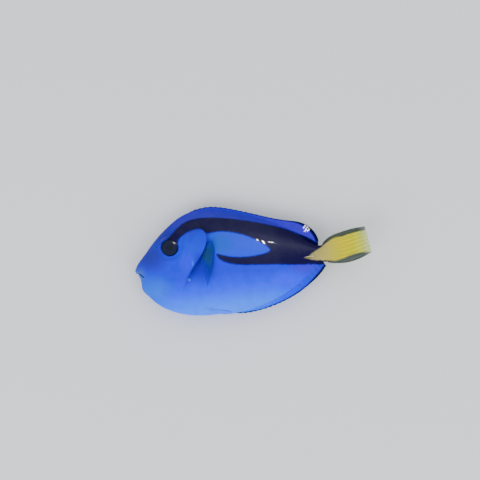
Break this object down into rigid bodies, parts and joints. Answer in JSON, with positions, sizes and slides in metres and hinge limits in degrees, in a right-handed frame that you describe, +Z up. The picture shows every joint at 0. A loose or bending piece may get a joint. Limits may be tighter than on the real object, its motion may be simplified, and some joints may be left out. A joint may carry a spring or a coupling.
{
  "type": "regal blue tang",
  "caption": "Young regal blue tang lying on its side, with a deep oval body, folded fins, a small mouth and a yellow tail flicked up off the floor.",
  "frame": {"origin": "centre of the bounding box in plan, on the floor that the fish lies on", "axes": "+X from the head to the tail, +Y from the belly to the back, +Z up, out of the fish's left side"},
  "size_m": [0.0928, 0.0455, 0.0141],
  "materials": {
    "skin": "wet, glossy",
    "eye": "wet, clear",
    "dorsal_fin": "satin, wet",
    "lower_fins": "satin, wet",
    "pectoral_fins": "satin, wet",
    "tail_fin": "satin, wet",
    "tail_spines": "smooth, horn-like"
  },
  "bodies": {
    "root": {"head": "skin", "torso": "skin", "tail_stalk": "skin", "gill_cover_left": "skin", "gill_cover_right": "skin", "eye_left": "eye", "eye_right": "eye", "dorsal_fin": "dorsal_fin", "anal_fin": "lower_fins", "pelvic_fin_left": "lower_fins", "pelvic_fin_right": "lower_fins", "pectoral_fin_left": "pectoral_fins", "pectoral_fin_right": "pectoral_fins", "tail_fin": "tail_fin", "tail_spine_left": "tail_spines", "tail_spine_right": "tail_spines"}
  },
  "joints": []
}
